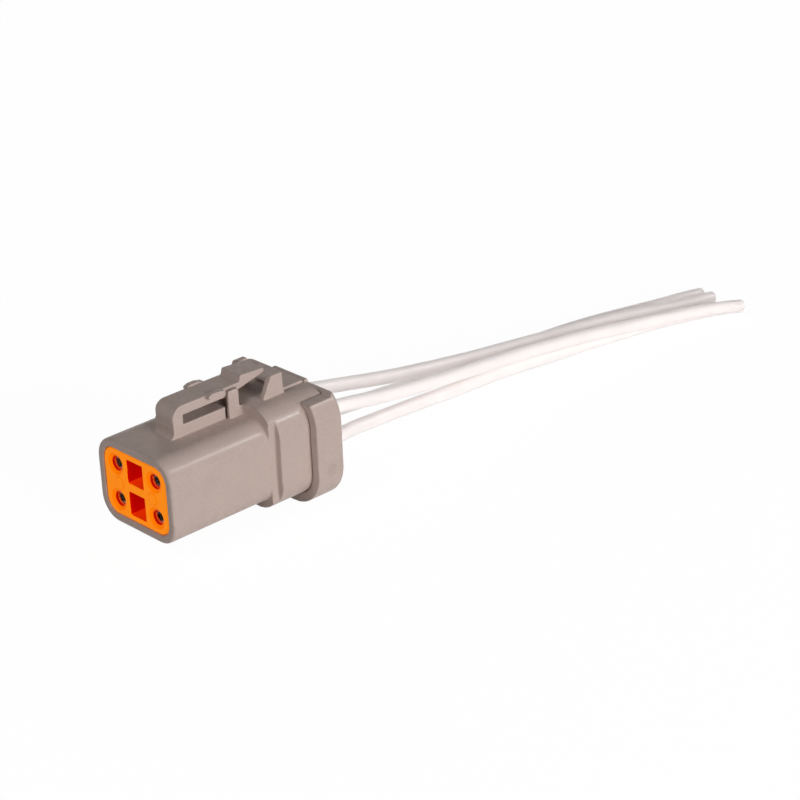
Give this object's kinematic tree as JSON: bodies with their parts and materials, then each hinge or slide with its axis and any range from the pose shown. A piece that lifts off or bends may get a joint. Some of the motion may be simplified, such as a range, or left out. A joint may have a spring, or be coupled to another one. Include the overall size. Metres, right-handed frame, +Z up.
{
  "type": "connector pigtail",
  "caption": "Sealed rectangular plug with a wedge lock in its nose, a thumb latch on top and a bundle of thin leads cut square.",
  "frame": {"origin": "under the middle of the plug, on the surface that the seal retainer and the lead ends rest on", "axes": "+Y from the mating face along the plug towards the leads, +Z up through the thumb latch, +X across"},
  "size_m": [0.0171, 0.0913, 0.0159],
  "materials": {
    "grey_plastic": "fine moulded satin",
    "orange_plastic": "moulded satin",
    "seal_rubber": "soft matte silicone",
    "contact_metal": "nickel plated",
    "hood_steel": "bright drawn steel",
    "white_sheath": "extruded satin",
    "copper": "bright stranded"
  },
  "bodies": {
    "connector": {"housing": "grey_plastic", "seal_retainer": "grey_plastic", "rear_seal": "seal_rubber", "contact_1": "contact_metal", "contact_2": "contact_metal", "contact_3": "contact_metal", "contact_4": "contact_metal", "contact_hood_1": "hood_steel", "contact_hood_2": "hood_steel", "contact_hood_3": "hood_steel", "contact_hood_4": "hood_steel", "wire_1": "white_sheath", "wire_2": "white_sheath", "wire_3": "white_sheath", "wire_4": "white_sheath", "conductor_1": "copper", "conductor_2": "copper", "conductor_3": "copper", "conductor_4": "copper"},
    "latch": {"release_latch": "grey_plastic"},
    "wedge": {"wedge_lock": "orange_plastic"}
  },
  "joints": [
    {"name": "latch_press", "type": "hinge", "parent": "connector", "child": "latch", "pos_m": [0, -0.00598, 0.01317], "axis": [-1, 0, 0], "range_deg": [0, 6], "stiffness_Nm_per_rad": 0.1},
    {"name": "wedge_slide", "type": "slide", "parent": "connector", "child": "wedge", "axis": [0, -1, 0], "range_m": [0, 0.012]}
  ]
}
